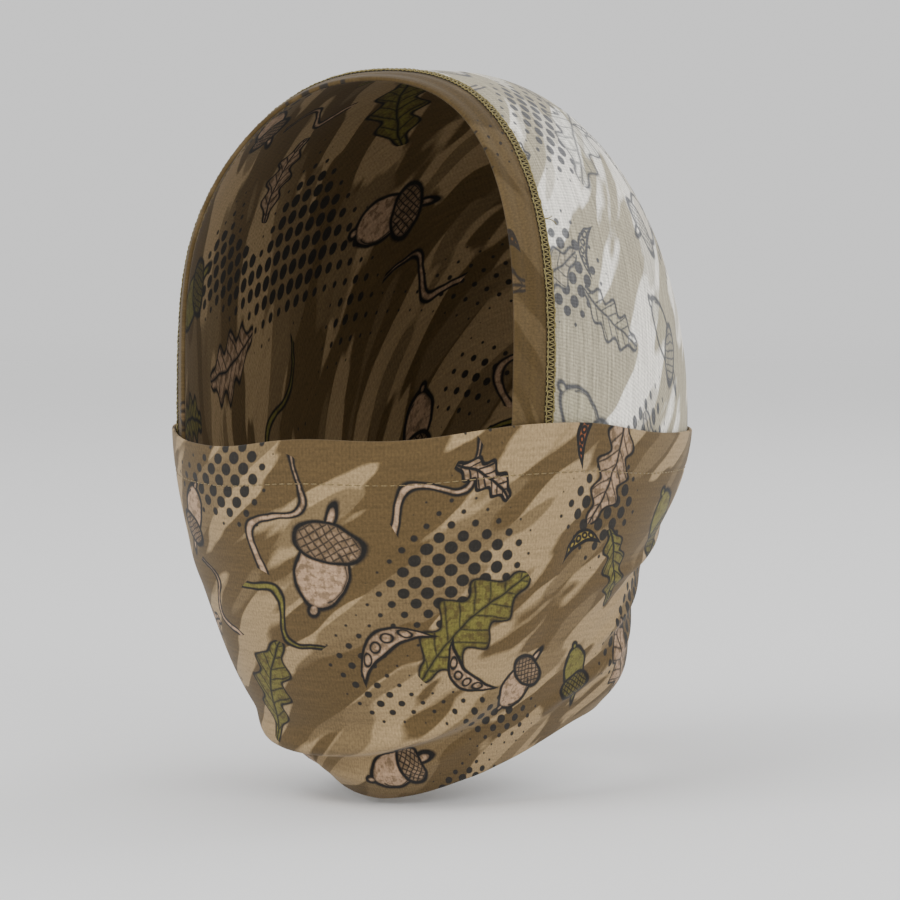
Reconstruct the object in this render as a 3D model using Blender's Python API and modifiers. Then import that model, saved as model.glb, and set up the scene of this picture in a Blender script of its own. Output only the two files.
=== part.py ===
"""Camo face mask: a printed knitted tube worn as a hood with its neck end turned up over the face.

Metres, +Z up. The wearer faces -Y and the wearer's left is +X. The origin is the centre of the head
at the level of the mask's top edge, so the crown is above it and the chin below it.

The tube is worn inside out. Its inner layer runs from the hem round the face back over the crown and
down to the neck, folds there, and comes up again outside as the mask. Every sheet of cloth lies at a
stated lift from one head form, so that the layers stay clear of each other when a size changes.
"""

import math

import bmesh
import bpy
from mathutils import Vector

COLLECTION = "camo_face_mask"

# The head form, whose surface is the outside of the inner layer. Reaches are measured at the origin's
# level, the front and back ones from the line where the head is widest.
HALF_WIDTH = 0.0798
WIDEST_Y = 0.008
FRONT_REACH = 0.1015
BACK_REACH = 0.0885
CROWN_HEIGHT = 0.1178
THROAT_DEPTH = 0.1380
# Powers of the head form's upright curves: 2 is an ellipse, more is squarer.
CROWN_POWER_SIDE = 2.15
CROWN_POWER_FRONT = 3.30
CROWN_POWER_BACK = 2.15
JAW_POWER_SIDE = 1.50
JAW_POWER_FRONT = 1.85
JAW_POWER_BACK = 1.12

# The face opening is where the form crosses a sheet that is upright at the origin's level, curves back
# above it, and below it curves to meet the chin where the hem still clears the neck fold.
OPENING_Y = -0.0625
OPENING_CURVE = 1.50
CHIN_COVER = 0.0110
OPENING_CENTRE = Vector((0.0, 0.0, 0.010))

# The neck fold lies in a plane that drops from the nape to the chin.
NECK_LEVEL = -0.0955
NECK_SLOPE = 0.38

# Cloth, hems and thread.
CLOTH = 0.0006
HEM_CLOTH = 0.0005
CLEARANCE = 0.0003
FACE_HEM_WIDTH = 0.0120
FACE_HEM_STITCH = 0.0115
OVERLOCK_WIDTH = 0.0026
OVERLOCK_HEIGHT = 0.0007
NOSE_HEM_WIDTH = 0.0130
NOSE_HEM_STITCH = 0.0125
NOSE_HEM_LOOPER = 0.0138
THREAD_RADIUS = 0.0002
# Between the two layers lie, each with a gap, the face hem's edging, the nose hem's looper thread and its cloth.
LAYER_GAP = 4 * CLEARANCE + OVERLOCK_HEIGHT + 2 * THREAD_RADIUS + HEM_CLOTH

# The mask is cut into the part that pulls down and the part that stays behind at this distance.
SPLIT_Y = 0.012

# How finely the sheets are divided.
ROUND_STEPS = 60
HOOD_ROWS = 17
WALL_ROWS = 8
FOLD_ROWS = 5
HEM_ROWS = 2
SEARCH_STEPS = 34
WALK_STEP = math.radians(0.25)
FORM_STEP = 0.0001

PRINTED_FACE = (0.115, 0.085, 0.045)
PALE_REVERSE = (0.46, 0.45, 0.38)
OLIVE_THREAD = (0.20, 0.17, 0.045)
BROWN_THREAD = (0.13, 0.10, 0.05)


def outside(point):
    """Less than 0 inside the head form, 0 on it and more than 0 outside it."""
    x, y, z = point
    forward = y < WIDEST_Y
    reach = FRONT_REACH if forward else BACK_REACH
    across, along = x / HALF_WIDTH, (y - WIDEST_Y) / reach
    spread = across * across + along * along
    share = along * along / spread if spread > 1e-12 else 0.0
    if z > 0:
        height, side = CROWN_HEIGHT, CROWN_POWER_SIDE
        end = CROWN_POWER_FRONT if forward else CROWN_POWER_BACK
    else:
        height, side = THROAT_DEPTH, JAW_POWER_SIDE
        end = JAW_POWER_FRONT if forward else JAW_POWER_BACK
    power = side + (end - side) * share
    return math.sqrt(spread) ** power + (abs(z) / height) ** power - 1


def between(low, high, is_past):
    """The value at which is_past turns true, found by halving."""
    for _ in range(SEARCH_STEPS):
        middle = (low + high) / 2
        if is_past(middle):
            high = middle
        else:
            low = middle
    return (low + high) / 2


def form_point(start, direction):
    """Where a line from a point inside the head form leaves it."""
    farthest = 2 * (CROWN_HEIGHT + THROAT_DEPTH)
    return start + direction * between(0, farthest, lambda t: outside(start + direction * t) > 0)


def form_normal(point):
    steps = (Vector((FORM_STEP, 0, 0)), Vector((0, FORM_STEP, 0)), Vector((0, 0, FORM_STEP)))
    return Vector([outside(point + step) - outside(point - step) for step in steps]).normalized()


def lifted(point, lift):
    return point + form_normal(point) * lift


def hood_point(turn, spread):
    """A point of the form: turn goes round the face from the forehead, spread opens from the face backwards."""
    direction = Vector(
        (math.sin(spread) * math.sin(turn), -math.cos(spread), math.sin(spread) * math.cos(turn))
    )
    return form_point(OPENING_CENTRE, direction)


def neck_height(y):
    return NECK_LEVEL + NECK_SLOPE * y


def level_point(turn, z):
    """The form's point at a height, turn going round from the face to the wearer's left."""
    return form_point(Vector((0, 0, z)), Vector((math.sin(turn), -math.cos(turn), 0)))


def neck_point(turn):
    """The form's point in the plane of the neck fold."""
    z = -between(0, THROAT_DEPTH, lambda depth: -depth < neck_height(level_point(turn, -depth).y))
    return level_point(turn, z)


def chin_point():
    """The lowest point of the face opening's edge."""
    covered = FACE_HEM_WIDTH + CLEARANCE + OVERLOCK_WIDTH + CHIN_COVER
    return level_point(0, neck_point(0).z + covered)


def behind_opening(point, chin):
    if point.z > 0:
        return point.y > OPENING_Y + OPENING_CURVE * point.z**2
    return point.y > OPENING_Y + (chin.y - OPENING_Y) * (point.z / chin.z) ** 2


def opening_spread(turn):
    chin = chin_point()
    return between(0, math.radians(100), lambda spread: behind_opening(hood_point(turn, spread), chin))


def walk_back(turn, distance):
    """The point of the form that lies a distance behind the face opening's edge."""
    spread = opening_spread(turn)
    point, walked = hood_point(turn, spread), 0.0
    while walked < distance:
        after = hood_point(turn, spread + WALK_STEP)
        step = (after - point).length
        if walked + step >= distance:
            return point.lerp(after, (distance - walked) / step)
        spread, point, walked = spread + WALK_STEP, after, walked + step
    return point


def material(name, colour, roughness):
    made = bpy.data.materials.new(name)
    made.use_nodes = True
    shader = made.node_tree.nodes["Principled BSDF"]
    shader.inputs["Base Color"].default_value = (*colour, 1)
    shader.inputs["Roughness"].default_value = roughness
    shader.inputs["Metallic"].default_value = 0
    return made


def add_part(name, data, parent, finish):
    made = bpy.data.objects.new(name, data)
    data.materials.append(finish)
    made.parent = parent
    bpy.data.collections[COLLECTION].objects.link(made)
    return made


def sheet(name, parent, finish, rows, thickness, place, keep=None):
    """A sheet of cloth: a grid rolled into a ring by place(turn, row share), cut by planes, given its thickness.

    The grid lies on the sheet's inner face, and the thickness goes outwards. keep lists the planes that cut it,
    each as a point and the direction in which cloth is taken away.
    """
    mesh = bmesh.new()
    bmesh.ops.create_grid(mesh, x_segments=ROUND_STEPS, y_segments=rows, size=0.5)
    for vertex in mesh.verts:
        vertex.co = place(2 * math.pi * (vertex.co.x + 0.5), vertex.co.y + 0.5)
    bmesh.ops.remove_doubles(mesh, verts=mesh.verts, dist=FORM_STEP)
    for point, away in keep or ():
        geometry = mesh.verts[:] + mesh.edges[:] + mesh.faces[:]
        bmesh.ops.bisect_plane(
            mesh, geom=geometry, dist=1e-7, plane_co=point, plane_no=away, clear_outer=True
        )
        bmesh.ops.dissolve_degenerate(mesh, edges=mesh.edges, dist=FORM_STEP)
    for face in mesh.faces:
        face.smooth = True
    bmesh.ops.recalc_face_normals(mesh, faces=mesh.faces)
    middle = mesh.faces[:][0]
    if form_normal(middle.calc_center_median()).dot(middle.normal) < 0:
        bmesh.ops.reverse_faces(mesh, faces=mesh.faces)
    data = bpy.data.meshes.new(name)
    mesh.to_mesh(data)
    mesh.free()
    made = add_part(name, data, parent, finish)
    wall = made.modifiers.new("thickness", "SOLIDIFY")
    wall.thickness = thickness
    wall.offset = 1
    wall.use_even_offset = True
    return made


def thread(name, parent, finish, points, closed):
    """A run of sewing thread through points."""
    data = bpy.data.curves.new(name, "CURVE")
    data.dimensions = "3D"
    data.bevel_depth = THREAD_RADIUS
    data.bevel_resolution = 0
    data.use_fill_caps = not closed
    line = data.splines.new("POLY")
    line.points.add(len(points) - 1)
    for target, point in zip(line.points, points):
        target.co = (*point, 1)
    line.use_cyclic_u = closed
    return add_part(name, data, parent, finish)


def hood_cloth(parent, finish):
    def place(turn, share):
        spread = opening_spread(turn)
        return lifted(hood_point(turn, spread + (math.pi - spread) * share), -CLOTH)

    # The rim stands square to the cloth, so it can dip below the cut by as much as the cloth's thickness.
    below = Vector((0, NECK_SLOPE, -1)).normalized()
    keep = [(Vector((0, 0, NECK_LEVEL)) - below * CLOTH, below)]
    return sheet("hood_cloth", parent, finish, HOOD_ROWS, CLOTH, place, keep)


def face_band(name, parent, finish, first, last, lift, thickness, rows):
    """A band that goes round behind the face opening, between two distances from its edge."""
    def place(turn, share):
        return lifted(walk_back(turn, first + (last - first) * share), lift)

    return sheet(name, parent, finish, rows, thickness, place)


def split(front):
    """The cutting plane that leaves the front or the back of the mask, half a gap clear of the split."""
    away = Vector((0, 1 if front else -1, 0))
    return Vector((0, SPLIT_Y, 0)) - away * CLEARANCE, away


def mask_cloth(name, parent, finish, front):
    """The turned-up layer: its wall from the nose edge down, and the fold that brings it round to the inner layer."""
    wall_share = WALL_ROWS / (WALL_ROWS + FOLD_ROWS)
    inner_radius = LAYER_GAP / 2

    def place(turn, share):
        edge = neck_point(turn)
        if share <= wall_share:
            z = edge.z * share / wall_share
            return lifted(level_point(turn, z), LAYER_GAP)
        around = math.pi * (share - wall_share) / (1 - wall_share)
        normal = form_normal(edge)
        down = Vector((0, NECK_SLOPE, -1))
        down = (down - normal * down.dot(normal)).normalized()
        centre = edge + normal * inner_radius + down * CLEARANCE
        return centre + (normal * math.cos(around) + down * math.sin(around)) * inner_radius

    return sheet(name, parent, finish, WALL_ROWS + FOLD_ROWS, CLOTH, place, [split(front)])


def nose_hem(name, parent, finish, front):
    """The edge of the mask, folded in behind its wall."""
    lift = LAYER_GAP - CLEARANCE - HEM_CLOTH

    def place(turn, share):
        return lifted(level_point(turn, -NOSE_HEM_WIDTH * share), lift)

    return sheet(name, parent, finish, HEM_ROWS, HEM_CLOTH, place, [split(front)])


def level_thread(name, parent, finish, front, z, lift):
    """A row of stitching round the mask at one height, over its front or its back."""
    turns = [2 * math.pi * (step + 0.5) / ROUND_STEPS for step in range(ROUND_STEPS)]
    if not front:
        turns = turns[ROUND_STEPS // 2 :] + turns[: ROUND_STEPS // 2]
        turns.reverse()
    points = [lifted(level_point(turn + math.pi, z), lift) for turn in turns]
    point, away = split(front)
    reach = THREAD_RADIUS
    points = [p for p in points if (p - point).dot(away) < -reach]
    return thread(name, parent, finish, points, False)


def build():
    for old in list(bpy.data.objects):
        bpy.data.objects.remove(old, do_unlink=True)
    collection = bpy.data.collections.new(COLLECTION)
    bpy.context.scene.collection.children.link(collection)
    hood = bpy.data.objects.new("hood", None)
    mask = bpy.data.objects.new("mask", None)
    for empty in (hood, mask):
        collection.objects.link(empty)

    hood_cloth(hood, material("reverse of the print", PALE_REVERSE, 0.85))
    face_band(
        "face_hem", hood, material("face hem", PRINTED_FACE, 0.8),
        0, FACE_HEM_WIDTH, CLEARANCE, HEM_CLOTH, HEM_ROWS,
    )
    raw_edge = FACE_HEM_WIDTH + CLEARANCE
    face_band(
        "face_hem_overlock", hood, material("overlock thread", OLIVE_THREAD, 0.6),
        raw_edge, raw_edge + OVERLOCK_WIDTH, CLEARANCE, OVERLOCK_HEIGHT, 1,
    )
    inside = -CLOTH - CLEARANCE - THREAD_RADIUS
    turns = [2 * math.pi * step / ROUND_STEPS for step in range(ROUND_STEPS)]
    points = [lifted(walk_back(turn, FACE_HEM_STITCH), inside) for turn in turns]
    thread("face_hem_needle_thread", hood, material("needle thread", BROWN_THREAD, 0.6), points, True)

    on_wall = LAYER_GAP + CLOTH + CLEARANCE + THREAD_RADIUS
    behind_hem = LAYER_GAP - 2 * CLEARANCE - HEM_CLOTH - THREAD_RADIUS
    for side, parent, front in (("front", mask, True), ("back", hood, False)):
        cloth = material(f"mask cloth {side}", PRINTED_FACE, 0.85)
        mask_cloth(f"mask_{side}_cloth", parent, cloth, front)
        nose_hem(f"nose_hem_{side}", parent, material(f"nose hem {side}", PRINTED_FACE, 0.8), front)
        level_thread(
            f"nose_hem_{side}_needle_thread", parent, material(f"nose needle {side}", BROWN_THREAD, 0.6),
            front, -NOSE_HEM_STITCH, on_wall,
        )
        level_thread(
            f"nose_hem_{side}_looper_thread", parent, material(f"nose looper {side}", OLIVE_THREAD, 0.6),
            front, -NOSE_HEM_LOOPER, behind_hem,
        )


build()
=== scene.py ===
# %% [markdown]
# # A printed-knit face mask, worn
#
# One tube of fine polyester jersey makes the whole piece. It is pulled over a head inside out, so the hood
# shows the pale reverse of the print, and its lower end is turned up over the face, right side out.
# This lesson dresses the plain CAD frame in that cloth: woven detail, print, hems and stitches.

# %% Load the frame
import math

import bpy
import numpy as np
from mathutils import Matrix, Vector


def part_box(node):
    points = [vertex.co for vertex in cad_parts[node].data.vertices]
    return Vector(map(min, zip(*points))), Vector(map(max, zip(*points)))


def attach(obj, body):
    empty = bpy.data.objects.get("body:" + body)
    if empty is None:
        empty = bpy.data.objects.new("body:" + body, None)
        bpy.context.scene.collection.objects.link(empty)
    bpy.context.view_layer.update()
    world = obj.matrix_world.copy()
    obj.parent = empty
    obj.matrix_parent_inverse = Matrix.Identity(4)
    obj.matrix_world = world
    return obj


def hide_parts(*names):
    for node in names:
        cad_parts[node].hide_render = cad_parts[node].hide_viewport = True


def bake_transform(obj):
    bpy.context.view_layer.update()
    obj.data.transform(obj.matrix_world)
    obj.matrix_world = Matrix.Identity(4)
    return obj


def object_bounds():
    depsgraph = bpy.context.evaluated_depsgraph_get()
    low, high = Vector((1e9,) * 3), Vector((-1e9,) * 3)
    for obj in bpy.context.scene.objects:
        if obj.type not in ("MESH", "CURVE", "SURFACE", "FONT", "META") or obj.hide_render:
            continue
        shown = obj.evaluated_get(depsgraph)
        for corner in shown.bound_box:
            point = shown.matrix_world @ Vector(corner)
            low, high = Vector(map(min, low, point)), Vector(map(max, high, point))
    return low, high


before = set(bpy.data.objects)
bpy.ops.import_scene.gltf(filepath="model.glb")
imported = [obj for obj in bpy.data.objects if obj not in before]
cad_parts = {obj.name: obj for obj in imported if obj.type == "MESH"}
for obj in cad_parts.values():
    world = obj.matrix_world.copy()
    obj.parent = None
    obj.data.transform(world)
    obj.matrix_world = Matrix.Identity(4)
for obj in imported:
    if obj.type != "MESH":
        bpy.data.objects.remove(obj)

cad_box = [list(corner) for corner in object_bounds()]
MM = 0.001
print("CAD box in mm:", [[round(value / MM, 1) for value in corner] for corner in cad_box])

# %% [markdown]
# ## The head inside the cloth
#
# The cloth has no shape of its own: it takes the shape of a head. The CAD frame is drawn on a smooth egg,
# rounder at the crown than at the jaw, and the cloth here is drawn on the same egg, so that the looks and the
# frame agree. Its width and its height are read back from the frame's own nodes.

# %% The head form, as a signed field
HOOD_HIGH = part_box("hood_cloth")[1]
HALF_WIDTH = HOOD_HIGH.x
CROWN_HEIGHT = HOOD_HIGH.z
WIDEST_Y = 8.0 * MM
FRONT_REACH = 101.5 * MM
BACK_REACH = HOOD_HIGH.y - WIDEST_Y
THROAT_DEPTH = 138.0 * MM
# how square the form is at its side, front and back: 2 is an ellipse
CROWN_POWERS = (2.15, 3.30, 2.15)
JAW_POWERS = (1.50, 1.85, 1.12)
NECK_LEVEL = -95.5 * MM
NECK_SLOPE = 0.38
OPENING_Y = -62.5 * MM
OPENING_CURVE = 1.50
# a ray's crossing is found by halving this reach again and again
FARTHEST = 300 * MM
HALVINGS = 42


def outside(points):
    """Below zero inside the head form, above zero outside it, for points in the last axis."""
    x, y, z = points[..., 0], points[..., 1], points[..., 2]
    forward = y < WIDEST_Y
    along = (y - WIDEST_Y) / np.where(forward, FRONT_REACH, BACK_REACH)
    spread = (x / HALF_WIDTH) ** 2 + along**2
    share = along**2 / np.maximum(spread, 1e-12)
    side, front, back = (np.where(z > 0, high, low) for high, low in zip(CROWN_POWERS, JAW_POWERS))
    power = side + (np.where(forward, front, back) - side) * share
    height = np.where(z > 0, CROWN_HEIGHT, THROAT_DEPTH)
    return np.maximum(spread, 1e-16) ** (power / 2) + (np.abs(z) / height) ** power - 1


def reach_form(start, direction):
    """Where rays from inside the form cross it."""
    low = np.zeros(direction.shape[:-1])
    high = np.full(direction.shape[:-1], FARTHEST)
    for _ in range(HALVINGS):
        middle = (low + high) / 2
        inside = outside(start + direction * middle[..., None]) < 0
        low = np.where(inside, middle, low)
        high = np.where(inside, high, middle)
    return start + direction * low[..., None]


def form_normal(points):
    """Unit normals of the form, from its slope along each axis."""
    step = 0.1 * MM
    steps = np.eye(3) * step
    slope = np.stack([outside(points + axis) - outside(points - axis) for axis in steps], axis=-1)
    return slope / np.linalg.norm(slope, axis=-1, keepdims=True)


form_sizes = [round(value / MM, 1) for value in (HALF_WIDTH, CROWN_HEIGHT, BACK_REACH)]
print("form half width, crown and back reach in mm:", form_sizes)

# %% [markdown]
# ## Rings of the tube
#
# A tube pulled over a head keeps its rings: the first rims the face, the last sits round the neck, and those
# between swing about the chin like the ribs of a folding pram hood. Each ring is the section of the head by
# one plane through a line under the chin. The ribs of the knit then cross the rings from the face to the
# neck, which is how they run on the real cloth, long over the crown and bunched short under the chin.

# %% Rings and paths
COLUMNS = 300
RING_STEPS = 900
HOOD_PLANES = 300
CHIN_COVER = 25.9 * MM
CHIN_HINGE = np.array([0.0, -97.5, -133.0]) * MM
FIRST_PLANE = math.radians(2)
NECK_END = math.atan2(1.0, NECK_SLOPE)


def even_ring(points):
    """A ring's points moved to equal distances, beginning where it began. The last repeats the first."""
    loop = np.vstack([points, points[:1]])
    length = np.concatenate([[0], np.cumsum(np.linalg.norm(np.diff(loop, axis=0), axis=1))])
    even = np.linspace(0, length[-1], COLUMNS + 1)
    return np.stack([np.interp(even, length, loop[:, axis]) for axis in range(3)], axis=1)[:-1]


def plane_ring(centre, first, across):
    """The section of the form by the plane through centre, beginning towards first."""
    turns = np.linspace(0, 2 * math.pi, RING_STEPS, endpoint=False)[:, None]
    return even_ring(reach_form(centre, first * np.cos(turns) + across * np.sin(turns)))


def arc_lengths(paths):
    """Distance along each column's path from its first row."""
    steps = np.linalg.norm(np.diff(paths, axis=0), axis=-1)
    return np.vstack([np.zeros(paths.shape[1]), np.cumsum(steps, axis=0)])


RIGHTWARDS = np.array([1.0, 0.0, 0.0])
hood_table = []
for angle in np.linspace(FIRST_PLANE, NECK_END, HOOD_PLANES):
    ray = np.array([0.0, math.sin(angle), math.cos(angle)])
    centre = CHIN_HINGE + ray * np.dot(-CHIN_HINGE, ray)
    hood_table.append(plane_ring(centre, ray, RIGHTWARDS))
hood_table = np.array(hood_table)

neck_front = reach_form(np.array([0, 0, NECK_LEVEL]), np.array([0, -1.0, -NECK_SLOPE]))
chin = reach_form(np.array([0, 0, neck_front[2] + CHIN_COVER]), np.array([0, -1.0, 0]))
print("chin end of the opening in mm:", np.round(chin / MM, 1))


def behind_opening(points):
    """How far points lie behind the rim of the face opening, measured front to back."""
    y, z = points[..., 1], points[..., 2]
    above = OPENING_Y + OPENING_CURVE * z**2
    below = OPENING_Y + (chin[1] - OPENING_Y) * (z / chin[2]) ** 2
    return y - np.where(z > 0, above, below)


depth = behind_opening(hood_table)
first_rows = (depth > 0).argmax(axis=0)
hood_paths = []
for column in range(COLUMNS):
    row = max(first_rows[column], 1)
    before, after = depth[row - 1, column], depth[row, column]
    share = float(np.clip(-before / (after - before), 0, 1))
    rim = hood_table[row - 1, column] * (1 - share) + hood_table[row, column] * share
    hood_paths.append(np.vstack([rim, hood_table[row:, column]]))
hood_lengths = np.array([np.linalg.norm(np.diff(path, axis=0), axis=1).sum() for path in hood_paths])


def hood_at(distance):
    """A ring of points on the form, each that far behind the face opening along its own rib."""
    ring = np.empty((COLUMNS, 3))
    for column, path in enumerate(hood_paths):
        length = np.concatenate([[0], np.cumsum(np.linalg.norm(np.diff(path, axis=0), axis=1))])
        for axis in range(3):
            ring[column, axis] = np.interp(distance[column], length, path[:, axis])
    return ring


rim_ring = hood_at(np.zeros(COLUMNS))
rim_round = np.linalg.norm(np.roll(rim_ring, -1, axis=0) - rim_ring, axis=1).sum()
print(f"face opening {rim_round / MM:.0f} mm round; cloth behind it {hood_lengths.min() / MM:.0f} mm at the "
      f"chin, {hood_lengths.max() / MM:.0f} mm over the crown")

# %% Rings of the turned-up part
MASK_ROWS = 190
mask_table = []
for share in np.linspace(0, 1, MASK_ROWS):
    centre = np.array([0, 0, NECK_LEVEL * share])
    ray = np.array([0.0, -1.0, -NECK_SLOPE * share])
    mask_table.append(plane_ring(centre, ray, RIGHTWARDS))
mask_table = np.array(mask_table)
mask_lengths = arc_lengths(mask_table)
mask_round = np.linalg.norm(np.roll(mask_table[0], -1, axis=0) - mask_table[0], axis=1).sum()
depths = mask_lengths[-1] / MM
print(f"nose edge {mask_round / MM:.0f} mm round, turned-up part {depths.min():.0f} to {depths.max():.0f} mm "
      "deep")

# %% [markdown]
# ## How the cloth lies
#
# Jersey is stretched smooth over the crown, and slack where the head narrows: it buckles under the chin and
# pinches at the nape. Those soft folds are pressed into the smooth form here as low ridges and hollows, each
# one placed by its bearing round the head and its height.

# %% Fields of folds
def bearing(points):
    """Degrees round the head from the nose, rising towards the wearer's left."""
    return np.degrees(np.arctan2(points[..., 0], -points[..., 1]))


def swell(points, turn, level, wide, tall):
    """A soft round hill, one at its top, at a bearing in degrees and a level in mm."""
    across = (bearing(points) - turn + 180) % 360 - 180
    up = points[..., 2] / MM - level
    return np.exp(-((across / wide) ** 2) - (up / tall) ** 2)


def ridge(points, start, end, width, sag=0.0):
    """A fold between two (bearing, level) ends, fading at both, its line bowed down by sag mm."""
    across = (bearing(points) - start[0] + 180) % 360 - 180
    run = end[0] - start[0]
    share = across / run
    level = start[1] + (end[1] - start[1]) * share - sag * 4 * share * (1 - share)
    up = points[..., 2] / MM - level
    ends = np.exp(-np.clip(np.abs(share - 0.5) * 2, 0, None) ** 4)
    return np.exp(-((up / width) ** 2)) * ends


def shared_settling(points):
    """What both layers do together, in mm: out at the right brow and at the back, in behind the left ear."""
    return (2.6 * swell(points, -52, 66, 34, 32) + 0.8 * swell(points, 172, 20, 60, 50)
            - 5.2 * swell(points, 115, -46, 28, 22) + 1.6 * swell(points, -55, -84, 26, 20)
            - 4.2 * swell(points, -30, -110, 24, 9) + 1.5 * swell(points, 12, -114, 22, 9))


def turned_up_folds(points):
    """The folds that only the turned-up part has, in mm."""
    chin_fold = 4.2 * ridge(points, (-44, -90), (38, -83), 3.4, 8.0)
    chin_fold -= 3.0 * ridge(points, (-44, -97.5), (38, -90.5), 3.0, 8.0)
    chin_fold += 0.8 * ridge(points, (-30, -104), (20, -102), 2.4, 3.0)
    nape = 5.0 * swell(points, 114, -78, 22, 13) + 1.6 * ridge(points, (122, -50), (84, -66), 2.6)
    nape += 1.8 * ridge(points, (126, -34), (76, -46), 2.4, 2.0)
    nape += 1.2 * ridge(points, (122, -60), (66, -88), 3.0)
    nape -= 1.0 * ridge(points, (124, -42), (80, -56), 2.2)
    back = 1.0 * ridge(points, (150, -40), (215, -42), 3.4, 5.0)
    back += 1.2 * ridge(points, (140, -56), (222, -58), 3.8, 6.0)
    other = 0.9 * ridge(points, (-128, -48), (-82, -70), 3.0)
    other += 0.8 * ridge(points, (-124, -38), (-76, -50), 2.4, 2.0)
    drape = 0.5 * ridge(points, (-70, -30), (-20, -52), 5.0) + 0.5 * ridge(points, (18, -74), (72, -50), 5.0)
    return chin_fold + nape + back + other + drape


def soft_step(value, start, end):
    """Nought before start, one after end, with an easy curve between."""
    share = np.clip((value - start) / (end - start), 0, 1)
    return share * share * (3 - 2 * share)

# %% [markdown]
# ## Cloth from rows
#
# A real layer of jersey is half a millimetre thick and has two faces: the printed face and the reverse. Every
# layer here is drawn as a sheet of rows, given its thickness along its own normals, and closed at its edges.
# The flat pattern goes with it as a UV map in metres, across the tube and along it, so the print lies on the
# cloth as it would come off the printer.

# %% Sheet builder
CLOTH = 0.5 * MM
# how far each layer's middle lies off the form, in mm
HOOD_LIFT = 0.75
FACE_HEM_LIFT = 1.62


def sheet_normals(rows):
    """Normals of a grid of rows that closes on itself sideways."""
    down = np.gradient(rows, axis=0)
    across = np.roll(rows, -1, axis=1) - np.roll(rows, 1, axis=1)
    normal = np.cross(across, down)
    return normal / np.maximum(np.linalg.norm(normal, axis=-1, keepdims=True), 1e-12)


def cloth_mesh(name, rows, flat, finishes, thickness=CLOTH, outward=1):
    """A closed layer of cloth. rows is (row, column, 3), flat is the (row, column + 1, 2) pattern in metres,
    and finishes are for its outer and inner face. Its columns begin at the back, where the pattern ends."""
    count, columns = rows.shape[:2]
    rows = np.roll(rows, columns // 2, axis=1)
    normal = sheet_normals(rows) * outward
    outer, inner = rows + normal * thickness / 2, rows - normal * thickness / 2
    points = np.concatenate([outer.reshape(-1, 3), inner.reshape(-1, 3)])
    here = np.arange(count * columns).reshape(count, columns)
    right = np.roll(here, -1, axis=1)
    half = count * columns
    front = np.stack([here[:-1], here[1:], right[1:], right[:-1]], axis=-1).reshape(-1, 4)
    back = front[:, ::-1] + half
    top = np.stack([here[0], right[0], right[0] + half, here[0] + half], axis=-1)
    bottom = np.stack([here[-1] + half, right[-1] + half, right[-1], here[-1]], axis=-1)
    faces = np.concatenate([front, back, top, bottom])
    if outward > 0:
        faces = faces[:, ::-1]
    left = np.stack([flat[:-1, :-1], flat[1:, :-1], flat[1:, 1:], flat[:-1, 1:]], axis=2).reshape(-1, 4, 2)
    edge_top = np.stack([flat[0, :-1], flat[0, 1:], flat[0, 1:], flat[0, :-1]], axis=1)
    edge_bottom = np.stack([flat[-1, :-1], flat[-1, 1:], flat[-1, 1:], flat[-1, :-1]], axis=1)
    corners = np.concatenate([left, left[:, ::-1], edge_top, edge_bottom])
    if outward > 0:
        corners = corners[:, ::-1]
    mesh = bpy.data.meshes.new(name)
    mesh.from_pydata(points.tolist(), [], faces.tolist())
    uv = mesh.uv_layers.new(name="pattern")
    uv.data.foreach_set("uv", corners.reshape(-1).astype(np.float32))
    for finish in finishes:
        mesh.materials.append(finish)
    slots = np.zeros(len(faces), np.int32)
    slots[len(front): 2 * len(front)] = 1
    mesh.polygons.foreach_set("material_index", slots)
    mesh.polygons.foreach_set("use_smooth", np.ones(len(faces), bool))
    mesh.update()
    piece = bpy.data.objects.new(name, mesh)
    bpy.context.scene.collection.objects.link(piece)
    return piece


def flat_pattern(along, around):
    """UV of each row and column: across the tube, nought where the rings begin, and the distance along it."""
    u = np.linspace(-around / 2, around / 2, COLUMNS + 1)
    along = np.roll(along, COLUMNS // 2, axis=1)
    v = np.hstack([along, along[:, :1]])
    return np.stack([np.broadcast_to(u, v.shape), v], axis=-1)

# %% [markdown]
# ## Thread and dye
#
# Two cloth finishes and two threads. The print is sublimation dye on white polyester: a woodland ground in
# three flowing earth tones, fields of black halftone dots, and outlined leaves, acorns, seed pods and
# tendrils. On the reverse the white yarn covers most of the dye, so the same print shows through pale.

# %% Colour and node helpers
def linear(code):
    """An sRGB hex colour as linear RGBA."""
    parts = [int(code[i: i + 2], 16) / 255 for i in (1, 3, 5)]
    return [p / 12.92 if p <= 0.04045 else ((p + 0.055) / 1.055) ** 2.4 for p in parts] + [1.0]


# a Mix node takes its colours after five inputs of other kinds, and gives the colour third
GAP = (None,) * 5
COLOUR = {"out": 2, "data_type": "RGBA"}


def node(tree, kind, *values, out=0, **settings):
    """Adds a node, sets it, feeds its inputs in order with values or sockets, and returns one output."""
    made = tree.nodes.new(kind)
    for name, value in settings.items():
        setattr(made, name, value)
    for socket, value in zip(made.inputs, values):
        if isinstance(value, bpy.types.NodeSocket):
            tree.links.new(value, socket)
        elif value is not None:
            socket.default_value = value
    return made.outputs[out]


def math_chain(tree, first, *steps):
    """A value taken through (operation, second value) steps."""
    for operation, second in steps:
        first = node(tree, "ShaderNodeMath", first, second, operation=operation)
    return first


def group_tree(name, inputs, outputs):
    """A new shader group with named sockets, its input node and its output node."""
    tree = bpy.data.node_groups.new(name, "ShaderNodeTree")
    for label, kind in inputs:
        tree.interface.new_socket(label, in_out="INPUT", socket_type=kind)
    for label, kind in outputs:
        tree.interface.new_socket(label, in_out="OUTPUT", socket_type=kind)
    return tree, tree.nodes.new("NodeGroupInput"), tree.nodes.new("NodeGroupOutput")

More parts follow.
